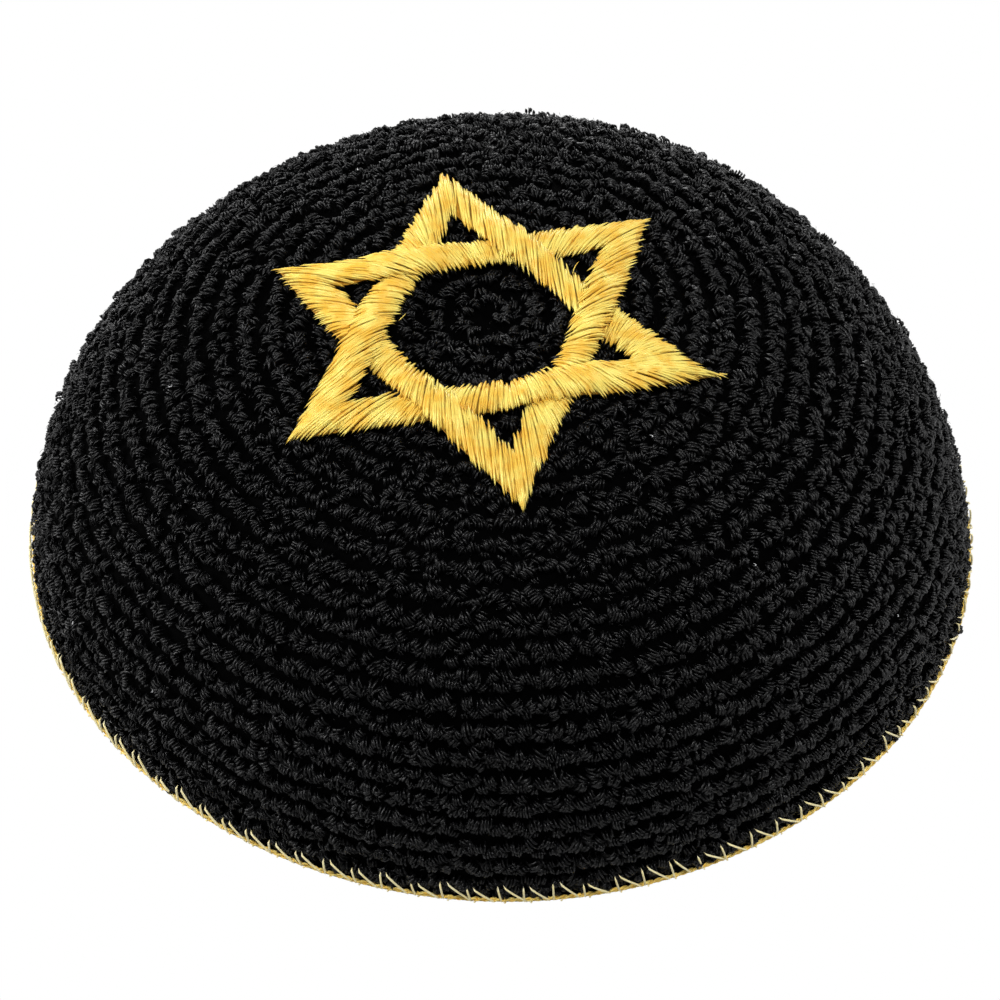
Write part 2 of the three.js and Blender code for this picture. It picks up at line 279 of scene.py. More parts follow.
class CrownShape:
    """Mean outer surface of the crown, by arc from the apex and by azimuth in radians."""

    STEPS = 400
    RIM_STEPS = 60
    PROBE = 0.5

    def __init__(self, radius):
        shares = (np.arange(self.STEPS) + 0.5) / self.STEPS
        slope = np.radians(self.slope_at(shares))
        reach = np.concatenate([[0.0], np.cumsum(np.cos(slope))]) / self.STEPS
        drop = np.concatenate([[0.0], np.cumsum(np.sin(slope))]) / self.STEPS
        scale = radius / reach[-1]
        self.radius = radius
        self.arcs = np.arange(self.STEPS + 1) / self.STEPS * scale
        self.radii = reach * scale
        self.heights = (drop[-1] - drop) * scale
        self.length = self.arcs[-1]
        self.middle = np.zeros(3)
        turns = np.arange(self.RIM_STEPS) / self.RIM_STEPS * math.tau
        rim = self.point(np.full(self.RIM_STEPS, self.length), turns)
        self.middle = (rim.min(0) + rim.max(0)) / 2 * (1, 1, 0)

    @staticmethod
    def slope_at(share):
        """Slope in degrees on a smooth curve through the table of slopes."""
        places, slopes = np.array(CROWN_SLOPES).T
        last = len(places) - 1
        before = np.maximum(np.arange(last + 1) - 1, 0)
        after = np.minimum(np.arange(last + 1) + 1, last)
        tangent = (slopes[after] - slopes[before]) / (places[after] - places[before])
        i = np.clip(np.searchsorted(places, share) - 1, 0, last - 1)
        span = places[i + 1] - places[i]
        t = (share - places[i]) / span
        ease = t * t * (3 - 2 * t)
        ends = slopes[i] * (1 - ease) + slopes[i + 1] * ease
        return ends + span * t * (1 - t) * (tangent[i] * (1 - t) - tangent[i + 1] * t)

    def radius_at(self, arc):
        return np.interp(arc, self.arcs, self.radii)

    def arc_at_height(self, height):
        return np.interp(-height, -self.heights, self.arcs)

    def point(self, arc, turn):
        """Points on the surface, with the lobes of the foot and the lean of the apex."""
        arc = np.clip(arc, 0, self.length)
        radius = np.interp(arc, self.arcs, self.radii)
        height = np.interp(arc, self.arcs, self.heights)
        lobe = sum(c * np.cos(n * turn) + s * np.sin(n * turn) for n, c, s in FOOT_LOBES)
        reach = radius + lobe * self.radius * (radius / self.radius) ** 2
        lean = height / self.heights[0] * self.radius
        x = reach * np.cos(turn) + APEX_LEAN[0] * lean
        y = reach * np.sin(turn) + APEX_LEAN[1] * lean
        return np.stack(np.broadcast_arrays(x, y, height), -1) - self.middle

    def normal(self, arc, turn):
        at = np.clip(arc, self.PROBE, self.length - self.PROBE)
        twist = self.PROBE / at
        down = self.point(at + self.PROBE, turn) - self.point(at - self.PROBE, turn)
        along = self.point(at, turn + twist) - self.point(at, turn - twist)
        return unit(np.cross(down, along))

    def lifted(self, arc, turn, lift):
        """Points at a height above the surface."""
        arc, turn, lift = np.broadcast_arrays(arc, turn, lift)
        return self.point(arc, turn) + self.normal(arc, turn) * lift[..., None]


def unit(vectors):
    return vectors / np.maximum(np.linalg.norm(vectors, axis=-1, keepdims=True), 1e-9)


def smooth(value, low, high):
    """Smooth step from 0 at low to 1 at high."""
    t = np.clip((value - low) / (high - low), 0, 1)
    return t * t * (3 - 2 * t)


# Meshes from arrays


def strand_mesh(path, radius, upward, sides, flat=1.0):
    """Closed strands with pointed ends. path is strands x points x 3."""
    count, steps = path.shape[:2]
    radius = np.broadcast_to(radius, (count, steps))[:, 1:-1, None, None]
    ahead = unit(np.gradient(path, axis=1))
    aside = unit(np.cross(ahead, upward))
    above = np.cross(aside, ahead)
    angle = np.arange(sides) / sides * math.tau
    across = np.cos(angle)[:, None] * aside[:, 1:-1, None]
    raised = flat * np.sin(angle)[:, None] * above[:, 1:-1, None]
    rings = (path[:, 1:-1, None] + radius * (across + raised)).reshape(count, -1, 3)
    points = np.concatenate([path[:, :1], rings, path[:, -1:]], 1)
    each = points.shape[1]
    ring = np.arange(steps - 3)[:, None] * sides + 1
    here = np.arange(sides)
    there = (here + 1) % sides
    quads = np.stack(
        [ring + here, ring + here + sides, ring + there + sides, ring + there], -1
    ).reshape(-1, 4)
    last = (steps - 3) * sides + 1
    start = np.stack([here * 0, here + 1, there + 1], -1)
    finish = np.stack([here * 0 + each - 1, last + there, last + here], -1)
    tris = np.concatenate([start, finish])
    offset = (np.arange(count) * each)[:, None, None]
    return points.reshape(-1, 3), (quads + offset).reshape(-1, 4), (tris + offset).reshape(-1, 3)


def loop_mesh(sections):
    """Closed bands. sections is steps round x points in the outline x 3."""
    steps, count = sections.shape[:2]
    here = np.arange(steps)[:, None] * count
    there = (np.arange(steps)[:, None] + 1) % steps * count
    a = np.arange(count)
    b = (a + 1) % count
    quads = np.stack([here + a, there + a, there + b, here + b], -1).reshape(-1, 4)
    return sections.reshape(-1, 3), quads, np.zeros((0, 3), int)


def cord_loop(path, radius, upward, sides):
    """Closed round cord along a closed path of steps x 3."""
    ahead = unit(np.roll(path, -1, 0) - np.roll(path, 1, 0))
    aside = unit(np.cross(ahead, upward))
    above = np.cross(aside, ahead)
    angle = -np.arange(sides) / sides * math.tau
    ring = np.cos(angle)[:, None] * aside[:, None] + np.sin(angle)[:, None] * above[:, None]
    return loop_mesh(path[:, None] + radius * ring)


def joined(meshes):
    """One mesh from several."""
    points, quads, tris, count = [], [], [], 0
    for verts, fours, threes in meshes:
        points.append(verts)
        quads.append(fours + count)
        tris.append(threes + count)
        count += len(verts)
    return np.concatenate(points), np.concatenate(quads), np.concatenate(tris)


def make_piece(name, mesh_arrays, material, node):
    """Piece of the cap from arrays in millimetres, in place of a CAD node."""
    points, quads, tris = mesh_arrays
    mesh = bpy.data.meshes.new(name)
    mesh.vertices.add(len(points))
    mesh.vertices.foreach_set("co", (points * MM).astype(np.float32).ravel())
    mesh.loops.add(quads.size + tris.size)
    corners = np.concatenate([quads.ravel(), tris.ravel()]).astype(np.int32)
    mesh.loops.foreach_set("vertex_index", corners)
    sizes = np.concatenate([np.full(len(quads), 4), np.full(len(tris), 3)]).astype(np.int32)
    mesh.polygons.add(len(sizes))
    starts = np.concatenate([[0], np.cumsum(sizes)[:-1]]).astype(np.int32)
    mesh.polygons.foreach_set("loop_start", starts)
    mesh.update(calc_edges=True)
    mesh.polygons.foreach_set("use_smooth", np.ones(len(sizes), bool))
    if mesh.validate():
        raise RuntimeError(f"{name} has broken faces")
    mesh.materials.append(material)
    piece = bpy.data.objects.new(name, mesh)
    bpy.context.scene.collection.objects.link(piece)
    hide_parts(node)
    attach(piece, "root")
    return piece


# Materials


def socket(tree, name, direction, kind, default=None):
    item = tree.interface.new_socket(name=name, in_out=direction, socket_type=kind)
    if default is not None:
        item.default_value = default
    return item


def fibre_group():
    """Shared fibre effect: soft blotches, fine streaks and a height for bump."""
    name = "Fibre Variation"
    if name in bpy.data.node_groups:
        return bpy.data.node_groups[name]
    tree = bpy.data.node_groups.new(name, "ShaderNodeTree")
    socket(tree, "Blotch Scale", "INPUT", "NodeSocketFloat", 300.0)
    socket(tree, "Fibre Scale", "INPUT", "NodeSocketFloat", 3000.0)
    socket(tree, "Fibre Share", "INPUT", "NodeSocketFloat", 0.4)
    socket(tree, "Mask", "OUTPUT", "NodeSocketFloat")
    socket(tree, "Height", "OUTPUT", "NodeSocketFloat")
    nodes, links = tree.nodes, tree.links
    enter = nodes.new("NodeGroupInput")
    leave = nodes.new("NodeGroupOutput")
    place = nodes.new("ShaderNodeTexCoord")
    blotch = nodes.new("ShaderNodeTexNoise")
    blotch.inputs["Detail"].default_value = 2.0
    fibre = nodes.new("ShaderNodeTexNoise")
    fibre.inputs["Detail"].default_value = 3.0
    fibre.inputs["Roughness"].default_value = 0.7
    for texture, scale in ((blotch, "Blotch Scale"), (fibre, "Fibre Scale")):
        links.new(place.outputs["Object"], texture.inputs["Vector"])
        links.new(enter.outputs[scale], texture.inputs["Scale"])
    blend = nodes.new("ShaderNodeMix")
    links.new(enter.outputs["Fibre Share"], blend.inputs["Factor"])
    links.new(blotch.outputs["Fac"], blend.inputs["A"])
    links.new(fibre.outputs["Fac"], blend.inputs["B"])
    spread = nodes.new("ShaderNodeMapRange")
    spread.interpolation_type = "SMOOTHSTEP"
    spread.inputs["From Min"].default_value = 0.36
    spread.inputs["From Max"].default_value = 0.64
    links.new(blend.outputs["Result"], spread.inputs["Value"])
    links.new(spread.outputs["Result"], leave.inputs["Mask"])
    links.new(fibre.outputs["Fac"], leave.inputs["Height"])
    return tree


def thread_material(name, deep, light, finish):
    """Yarn or thread, made only once: two colours by blotches, fibre bump, sheen and gloss."""
    if name in bpy.data.materials:
        return bpy.data.materials[name]
    material = bpy.data.materials.new(name)
    material.use_nodes = True
    nodes, links = material.node_tree.nodes, material.node_tree.links
    shader = nodes["Principled BSDF"]
    group = nodes.new("ShaderNodeGroup")
    group.node_tree = fibre_group()
    rough = nodes.new("ShaderNodeMapRange")
    bump = nodes.new("ShaderNodeBump")
    for node, keys, values in (
        (shader, ("Sheen Weight", "Sheen Roughness", "Sheen Tint"), finish.sheen),
        (shader, ("Specular IOR Level", "Specular Tint"), finish.specular),
        (group, ("Blotch Scale", "Fibre Scale", "Fibre Share"), finish.fibre),
        (rough, ("To Min", "To Max"), finish.roughness),
        (bump, ("Strength", "Distance"), finish.bump),
    ):
        for key, value in zip(keys, values):
            node.inputs[key].default_value = value
    colour = nodes.new("ShaderNodeMix")
    colour.data_type = "RGBA"
    low, high = [item for item in colour.inputs if item.type == "RGBA"]
    low.default_value = (*deep, 1.0)
    high.default_value = (*light, 1.0)
    tinted = [item for item in colour.outputs if item.type == "RGBA"][0]
    links.new(group.outputs["Mask"], colour.inputs["Factor"])
    links.new(tinted, shader.inputs["Base Color"])
    links.new(group.outputs["Mask"], rough.inputs["Value"])
    links.new(rough.outputs["Result"], shader.inputs["Roughness"])
    links.new(group.outputs["Height"], bump.inputs["Height"])
    links.new(bump.outputs["Normal"], shader.inputs["Normal"])
    return material


def yarn_material(settings):
    return thread_material("Black Yarn", settings.yarn_deep, settings.yarn_light, YARN)


def painted_shade_groove_material(settings):
    """Yarn darkened and dulled as painted shade, for the lining that shows in the gaps between the
    stitches.
    """
    # Painted shade: 0.4 and 0.5 of the yarn's darker colour, so that the grooves read as shadowed
    deep = [0.4 * part for part in settings.yarn_deep]
    light = [0.5 * part for part in settings.yarn_deep]
    return thread_material("Black Yarn in Painted Groove Shade", deep, light, PAINTED_SHADE_GROOVE_YARN)



# Settings


def length(name, description, default, low, high):
    return FloatProperty(
        name=name, description=description, default=default * MM,
        min=low * MM, max=high * MM, precision=5, subtype="DISTANCE", unit="LENGTH",
    )


def colour(name, description, default):
    return FloatVectorProperty(
        name=name, description=description, default=default,
        size=3, min=0.0, max=1.0, subtype="COLOR",
    )


class SkullcapCrownSettings(PropertyGroup):
    """Sizes and colours of the crocheted crown."""

    radius: length("Foot Radius", "Mean radius of the foot", 85.0, 60.0, 110.0)
    foot_height: length("Foot Height", "Height of the crown's foot", 1.2, 0.5, 3.0)
    round_pitch: length("Round Pitch", "Arc from one round to the next", 4.67, 2.0, 8.0)
    stitch_width: length("Stitch Width", "Width of one stitch", 2.75, 1.5, 6.0)
    ply_radius: length("Ply Radius", "Radius of one ply of the yarn", 0.26, 0.1, 0.6)
    seam_azimuth: FloatProperty(
        name="Round End Azimuth", description="Where the rounds step down to a level foot",
        default=math.radians(122.0), subtype="ANGLE", unit="ROTATION",
    )
    yarn_deep: colour("Yarn Shade", "Darker colour of the yarn", (0.0004, 0.0004, 0.0005))
    yarn_light: colour("Yarn Light", "Lighter colour of the yarn", (0.003, 0.003, 0.0034))


class SkullcapStarSettings(PropertyGroup):
    """Sizes and colours of the satin-stitch star."""

    thread_width: length("Thread Width", "Width of one thread", 0.5, 0.2, 1.0)
    thread_pitch: length("Thread Pitch", "Distance between threads", 0.3, 0.15, 1.0)
    rise: length("Satin Rise", "Height of the crowned stitch", 0.95, 0.3, 2.0)
    thread_deep: colour("Thread Shade", "Darker colour of the thread", (0.9, 0.54, 0.06))
    thread_light: colour("Thread Light", "Lighter colour of the thread", (1.0, 0.83, 0.2))
    # Padding colours, darker than the thread, are painted shade in the gaps between the threads;
    # the padding itself is a real core
    painted_shade_padding_deep: colour("Padding Painted Shade Dark", "Darker colour between threads", (0.42, 0.18, 0.012))
    painted_shade_padding_light: colour("Padding Painted Shade Light", "Lighter colour between threads", (0.65, 0.34, 0.035))


class SkullcapEdgingSettings(PropertyGroup):
    """Sizes and colours of the rim edging."""

    cord_radius: length("Cord Ply Radius", "Radius of one ply of the rim cord", 0.24, 0.1, 0.6)
    stitch_pitch: length("Stitch Pitch", "Distance between pairs of stitches", 5.2, 3.0, 9.0)
    stitch_height: length("Stitch Height", "Height of the rim stitches", 4.4, 1.0, 8.0)
    stitch_radius: length("Stitch Radius", "Radius of the rim stitches", 0.2, 0.08, 0.4)
    cord_deep: colour("Cord Shade", "Darker colour of the cord", (1.0, 0.6, 0.08))
    cord_light: colour("Cord Light", "Lighter colour of the cord", (1.0, 0.84, 0.28))
    stitch_deep: colour("Stitch Shade", "Darker colour of the stitches", (1.0, 0.84, 0.38))
    stitch_light: colour("Stitch Light", "Lighter colour of the stitches", (1.0, 0.94, 0.62))


class SkullcapStageSettings(PropertyGroup):
    """Camera, floor and light."""

    elevation: FloatProperty(
        name="Camera Elevation", description="Camera angle above the horizon",
        default=math.radians(51.3), subtype="ANGLE", unit="ROTATION",
    )
    distance: length("Camera Distance", "From the camera to its aim", 560.0, 200.0, 3000.0)
    lens: FloatProperty(
        name="Lens", description="Focal length", default=112.19, min=20.0, max=300.0,
        subtype="DISTANCE_CAMERA", unit="CAMERA",
    )
    floor_colour: colour("Floor", "Colour of the floor", (0.72, 0.72, 0.72))
    daylight: FloatProperty(
        name="Even Light", description="Strength of the even light", default=0.14, min=0.0, max=5.0,
    )
    lamps: FloatProperty(
        name="Soft Lamps", description="Power of the soft lamps", default=1.0, min=0.0, max=10.0,
    )


# Crown


def level_rounds(shape, arc, turn, settings):
    """Arc of the spiral after its outer rounds are drawn level with the foot."""
    pitch = settings.round_pitch / MM
    foot = shape.arc_at_height(settings.foot_height / MM)
    start = math.radians(ROUND_START_AZIMUTH)
    phase = (turn - settings.seam_azimuth) / math.tau % 1.0
    zone = SEAM_ZONE
    saw = np.interp(phase, [0, zone, 1 - zone, 1], [0, 0.5 - zone, zone - 0.5, 0])
    seam_share = (settings.seam_azimuth - start) / math.tau % 1.0
    spare = (foot / pitch - 0.5 - seam_share) % 1.0
    spare -= 1.0 if spare > 0.5 else 0.0
    return arc + pitch * (saw + spare) * smooth(arc / foot, LEVEL_FROM, LEVEL_TO)


def crest_line(shape, settings):
    """Azimuth, crest arc and radius of every stitch, one after another along the spiral."""
    pitch = settings.round_pitch / MM
    width = settings.stitch_width / MM
    foot = shape.arc_at_height(settings.foot_height / MM)
    start = math.radians(ROUND_START_AZIMUTH)
    rows = []
    turns = 0.0
    while True:
        turn = start + turns * math.tau
        arc = float(level_rounds(shape, pitch * (turns + 0.5), turn, settings))
        if arc > foot + SPIRAL_END * pitch:
            break
        radius = float(shape.radius_at(arc))
        if arc < foot - LAST_STITCH * pitch:
            rows.append((turn, arc, radius))
        turns += width / (math.tau * radius)
    return np.array(rows)


def tuft_strands(shape, rows, random, tuft, ply):
    """One short tuft of side-by-side plies in every stitch, out of the round and back into it."""
    across, along, lean, lift, half, plies = tuft
    count = len(rows)
    turn, arc, radius = (rows[:, i][:, None, None] for i in range(3))
    x = PLY_STEPS

    def shake(size, each=1):
        return random.normal(0, size, (count, each, 1))

    side = np.where(random.uniform(0, 1, (count, 1, 1)) < USUAL_LEAN_SHARE, 1.0, -1.0)
    heading = np.radians(side * lean + shake(TUFT_TURN) + shake(PLY_TURN, plies))
    rank = np.arange(plies)[None, :, None] - (plies - 1) / 2
    beside = (PLY_SPACING * ply * rank + shake(PLY_GAP, plies)) * (1 + shake(TUFT_FAN) * x)
    stretch = 1 + shake(TUFT_LENGTH) + shake(PLY_LENGTH, plies)
    ahead = half * stretch * x + shake(PLY_SLIDE, plies)
    down = across + shake(TUFT_ACROSS) + ahead * np.cos(heading) - beside * np.sin(heading)
    aside = along + shake(TUFT_ALONG) + ahead * np.sin(heading) + beside * np.cos(heading)
    height = lift + shake(TUFT_HEIGHT) + shake(PLY_HEIGHT, plies) + shake(TUFT_TILT) * x
    height = height - SIDE_DIP * beside ** 2 - END_DIP * np.abs(x) ** END_DIP_POWER
    height = height - CREST_DIP * down ** 2
    arcs = arc + down
    least_radius = 1.6
    turns = turn + aside / np.maximum(radius, least_radius)
    path = shape.lifted(arcs, turns, height)
    above_floor = 1.2 * ply
    path[..., 2] = np.maximum(path[..., 2], above_floor)
    upward = shape.normal(*np.broadcast_arrays(arcs, turns)) + UPWARD_LEAN
    uneven = 1 + random.normal(0, PLY_THICKNESS_SPREAD, (count * plies, 1))
    thick = ply * PLY_THICKNESS * uneven
    steps = len(x)
    return strand_mesh(path.reshape(-1, steps, 3), thick, upward.reshape(-1, steps, 3), 3)


def stitch_strands(shape, rows, tufts, settings, random):
    """The tufts of every stitch."""
    ply = settings.ply_radius / MM
    return joined([tuft_strands(shape, rows, random, tuft, ply) for tuft in tufts])


def foot_line(shape, settings):
    """Azimuth, arc and radius of the stitches of the narrow last round at the foot."""
    arc = shape.arc_at_height(settings.foot_height / MM)
    radius = float(shape.radius_at(arc))
    count = round(math.tau * radius / (settings.stitch_width / MM))
    turn = np.arange(count) / count * math.tau
    return np.stack([turn, np.full(count, arc), np.full(count, radius)], -1)


def lining_mesh(shape, settings):
    """Closed shell under the stitches with the rounds in relief inside, and its inward faces."""
    pitch = settings.round_pitch / MM
    width = settings.stitch_width / MM
    foot_height = settings.foot_height / MM
    foot = shape.arc_at_height(foot_height)
    start = math.radians(ROUND_START_AZIMUTH)
    columns, rows = 220, 110
    turn = (np.arange(columns) / columns * math.tau)[None]
    arc = np.linspace(0, foot, rows + 1)[1:, None]
    phase = arc / pitch - (turn - start) / math.tau % 1.0
    stitch = turn * shape.radius_at(arc) / width
    ridge = 0.5 + 0.5 * np.cos(math.tau * phase)
    knot = 0.5 + 0.5 * np.cos(math.tau * (stitch + 0.5 * np.floor(phase)))
    relief = SHELL_RELIEF * (1 - ridge * (0.55 + 0.45 * knot))
    inner = shape.lifted(arc, turn, -SHELL_INNER + relief)
    flare_arc = 1.3
    flare_lift = 1.8
    outer_arc = np.append(np.linspace(0, foot - flare_arc, 22)[1:], foot)[:, None]
    outer = shape.lifted(outer_arc, turn, -SHELL_OUTER + flare_lift * (outer_arc >= foot))
    inner[-1, :, 2] = foot_height
    outer[-1, :, 2] = 0.12
    top = shape.lifted(0.0, 0.0, -SHELL_OUTER)[None]
    under = shape.lifted(0.0, 0.0, -SHELL_INNER)[None]
    outer_rows = len(outer)
    points = np.concatenate([top, outer.reshape(-1, 3), under, inner.reshape(-1, 3)])
    here = np.arange(columns)
    there = (here + 1) % columns

    def skin(first, count, outward):
        ring = first + 1 + np.arange(count - 1)[:, None] * columns
        below = ring + columns
        quad = np.stack([ring + here, below + here, below + there, ring + there], -1)
        fan = np.stack([here * 0 + first, first + 1 + here, first + 1 + there], -1)
        quad = quad.reshape(-1, 4)
        return (quad, fan) if outward else (quad[:, ::-1], fan[:, ::-1])

    second = 1 + outer_rows * columns
    quads_out, fan_out = skin(0, outer_rows, True)
    quads_in, fan_in = skin(second, rows, False)
    low_out = 1 + (outer_rows - 1) * columns
    low_in = second + 1 + (rows - 1) * columns
    foot_ring = np.stack([low_out + here, low_in + here, low_in + there, low_out + there], -1)
    quads = np.concatenate([quads_out, quads_in, foot_ring])
    tris = np.concatenate([fan_out, fan_in])
    inward = np.concatenate([
        np.arange(len(quads)) >= len(quads_out), np.arange(len(tris)) >= len(fan_out),
    ])
    return (points, quads, tris), inward


def fuzz_mesh(shape, settings, random, count=1800):
    """Short loose fibres that stand off the yarn."""
    foot = shape.arc_at_height(settings.foot_height / MM)
    share = random.uniform(0.02, 1.0, count * 3)
    keep = random.uniform(0, 1, count * 3) < shape.radius_at(share * foot) / shape.radius
    arc = (share[keep] * foot)[:count]
    count = len(arc)
    turn = random.uniform(0, math.tau, count)
    heading = random.uniform(0, math.tau, count)
    reach = random.uniform(0.5, 1.5, count)
    rise = random.uniform(0.15, 0.75, count)
    bend = random.uniform(-0.9, 0.9, count)
    t = np.array([0.0, 0.2, 0.6, 1.0])
    angle = heading[:, None] + bend[:, None] * t
    arcs = arc[:, None] + reach[:, None] * t * np.cos(angle)
    radius = np.maximum(shape.radius_at(arc), 3)[:, None]
    turns = turn[:, None] + reach[:, None] * t * np.sin(angle) / radius
    lift = -0.05 + rise[:, None] * np.sin(t * math.pi * 0.6)
    path = shape.lifted(arcs, turns, lift)
    upward = shape.normal(arcs, turns) + UPWARD_LEAN
    return strand_mesh(path, np.array([0.0, 0.035, 0.028, 0.0]), upward, 3)


def lint_mesh(shape, random, count=16):
    """A few pale specks of lint caught on the yarn."""
    arc = shape.length * np.sqrt(random.uniform(0.02, 0.9, count))
    turn = random.uniform(0, math.tau, count)
    t = np.linspace(0, 1, 6)
    arcs = arc[:, None] + 0.35 * np.cos(3.2 * t + turn[:, None])
    turns = turn[:, None] + 0.35 * np.sin(3.2 * t) / arc[:, None]
    path = shape.lifted(arcs, turns, 0.42 + 0.1 * t)
    upward = shape.normal(arcs, turns) + UPWARD_LEAN
    return strand_mesh(path, np.array([0, 0.06, 0.08, 0.08, 0.05, 0]), upward, 5)


# Star


def tip_place(shape, name):
    """Tip of the star laid out flat."""
    azimuth, share = STAR_TIPS[name]
    turn = math.radians(azimuth)
    return np.array([math.cos(turn), math.sin(turn)]) * share * shape.length


def bow_of(side, share):
    """How far the outer edge of a side stands out from its chord."""
    return 4 * share * (1 - share) * (side.bow + side.skew * (2 * share - 1))


def width_of(side, share):
    """Width of a side, a little less in its middle than halfway to its tips."""
    return side.width * (1 - side.waist * np.cos(math.tau * (2 * share - 1)))


def chord_of(shape, side):
    """Start, direction, outward direction and length of the straight line between two tips."""
    start = tip_place(shape, side.start)
    along = tip_place(shape, side.end) - start
    span = float(np.linalg.norm(along))
    along = along / span
    return start, along, np.array([-along[1], along[0]]), span


def side_point(shape, side, share, inset):
    """Flat point on a side at a share of its length, set in from its outer edge."""
    start, along, outward, span = chord_of(shape, side)
    share = np.asarray(share, float)[..., None]
    inset = np.asarray(inset, float)[..., None]
    return start + along * share * span + outward * (bow_of(side, share) - inset)


def depth_in(shape, side, place):
    """How deep flat points lie inside the outer edge of a side."""
    start, along, outward, span = chord_of(shape, side)
    share = (place - start) @ along / span
    return bow_of(side, share) - (place - start) @ outward


def crossing_lift(shape, side, place, rise):
    """Extra height where a side passes over a bar of the other triangle."""
    bar = next(other for other in STAR_SIDES if other.start == side.over)
    depth = depth_in(shape, bar, place)
    away = np.maximum(np.maximum(depth - bar.width, -depth), 0)
    ramp_start = 0.8
    ramp_end = 5.3
    clearance = 0.1
    return (1 - smooth(away, ramp_start, ramp_end)) * (rise + clearance)


def arc_and_turn(place):
    return np.hypot(place[..., 0], place[..., 1]), np.arctan2(place[..., 1], place[..., 0])


def wrap(shape, place, lift):
    """Flat places laid on the crown at a height above its mean surface."""
    return shape.lifted(*arc_and_turn(place), lift)


def wrap_normal(shape, place):
    return shape.normal(*arc_and_turn(place)) + UPWARD_LEAN


def inner_corner(shape, side, neighbour, corner):
    """Share of a side where its inner edge meets the inner edge of its neighbour."""
    near, far = 0.5, corner
    for _ in range(40):
        middle = (near + far) / 2
        place = side_point(shape, side, middle, width_of(side, middle))
        if depth_in(shape, neighbour, place) > neighbour.width:
            near = middle
        else:
            far = middle
    return near


def padding_mesh(shape, sides, settings):
    """Crowned core under the threads of one triangle."""
    rise = settings.rise / MM
    base = 0.45
    steps = 40
    sections = []
    for k, side in enumerate(sides):
        low = inner_corner(shape, side, sides[k - 1], 0.0)
        high = inner_corner(shape, side, sides[(k + 1) % 3], 1.0)
        share = np.arange(steps) / steps
        outer = side_point(shape, side, share, 0.0)
        inner_share = low + (high - low) * share
        inner = side_point(shape, side, inner_share, width_of(side, inner_share))
        ring = []
        for across, up in PADDING_OUTLINE:
            place = outer + (inner - outer) * across
            lift = base + crossing_lift(shape, side, place, rise) + up * rise
            ring.append(wrap(shape, place, lift))
        sections.append(np.stack(ring, 1))
    return loop_mesh(np.concatenate(sections))


def thread_heading(side, share):
    """Heading of the threads, which turns from the axis of one tip to the axis of the next."""
    start = TIP_HEADINGS[side.start]
    turn = (start - TIP_HEADINGS[side.end]) % 360.0
    return np.radians(start - turn * smooth(share, *TURN_ZONES.get(side.start, USUAL_TURN_ZONE)))


def side_threads(shape, side, following, settings, random, sparse, sunk):
    """Satin threads of one side, from its outer edge to its inner edge."""
    rise = settings.rise / MM
    start, along, outward, span = chord_of(shape, side)
    overrun = 0.004
    least_across = 0.35
    shares = []
    share = -overrun
    while share < 1 + overrun:
        shares.append(share)
        angle = float(thread_heading(side, np.array(share)))
        across = abs(math.cos(angle) * outward[0] + math.sin(angle) * outward[1])
        share += settings.thread_pitch / MM * sparse / max(across, least_across) / span
    share = np.array(shares)
    count = len(share)
    share = share + random.normal(0, 0.0015, count)
    angle = thread_heading(side, share) + random.normal(0, 0.03, count)
    ahead = np.stack([np.cos(angle), np.sin(angle)], -1)
    begin = side_point(shape, side, share, 0.0)
    reach = np.linspace(0, THREAD_REACH, THREAD_TESTS)
    track = begin[:, None] + ahead[:, None] * reach[:, None]
    within = depth_in(shape, side, track) < width_of(side, (track - start) @ along / span)
    corner = depth_in(shape, following, track)
    within |= (corner < following.width) & (corner > 0) & (share[:, None] > 0.6)
    last_within = np.minimum(within.cumprod(1).sum(1), THREAD_TESTS - 1)
    stop = reach[last_within] + random.uniform(-0.5, 0.7, count)
    jut = random.uniform(-0.65, 0, (count, 1)) + 0.6 * (random.uniform(0, 1, (count, 1)) < 0.4)
    begin = begin - ahead * jut / np.maximum(np.abs(ahead @ outward), 0.45)[:, None]
    t = THREAD_STEPS
    place = begin[:, None] + ahead[:, None] * (stop[:, None] * t)[..., None]
    beside = np.stack([-ahead[:, 1], ahead[:, 0]], -1)
    sway = random.normal(0, 0.08, (count, 1)) * np.sin(math.pi * t)
    place = place + beside[:, None] * sway[..., None]
    crown = (1 - np.abs(t * 2 - 1) ** 2.6) * rise
    layer = random.uniform(-0.09, 0.08, (count, 1)) - sunk
    base = 0.5
    end_dip = 0.15
    lift = base + crown + layer * np.sin(math.pi * t) ** 0.5
    lift = lift + crossing_lift(shape, side, place, rise) - end_dip * (np.abs(t * 2 - 1) > 0.99)
    wide = settings.thread_width / MM / 2 * THREAD_WIDTHS
    wide = wide * (1 + random.normal(0, 0.12, (count, 1)))
    return strand_mesh(wrap(shape, place, lift), wide, wrap_normal(shape, place), 4, flat=0.75)


def stray_mesh(shape):
    """Loose thread ends at the points and edges of the star."""
    table = np.array(STRAY_THREADS)
    turn, heading = np.radians(table[:, 0]), np.radians(table[:, 2])
    t = np.linspace(0, 1, 7)
    begin = np.stack([np.cos(turn), np.sin(turn)], -1) * table[:, 1:2]
    bend = heading[:, None] + 0.3 * t * np.where(np.arange(len(table)) % 2, 1, -1)[:, None]
    step = table[:, 3:4] * t
    place = begin[:, None] + np.stack([np.cos(bend), np.sin(bend)], -1) * step[..., None]
    lift = 0.75 + 0.3 * np.sin(t * math.pi * 0.8)
    wide = 0.08 * np.array([0, 1, 1, 1, 1, 0.8, 0])
    return strand_mesh(wrap(shape, place, lift), wide, wrap_normal(shape, place), 4)


# Rim edging


def rim_path(shape, out, height, turn):
    """Path round the foot, some way out from it and at a height above the floor."""
    foot = shape.point(np.full(turn.shape, shape.length), turn)
    outward = shape.normal(np.full(turn.shape, shape.length), turn) * (1, 1, 0)
    spot = foot + unit(outward) * np.asarray(out)[..., None]
    spot[..., 2] = height
    return spot


def pair_count(shape, settings):
    """Number of pairs of rim stitches."""
    return round(math.tau * shape.radius / (settings.stitch_pitch / MM))


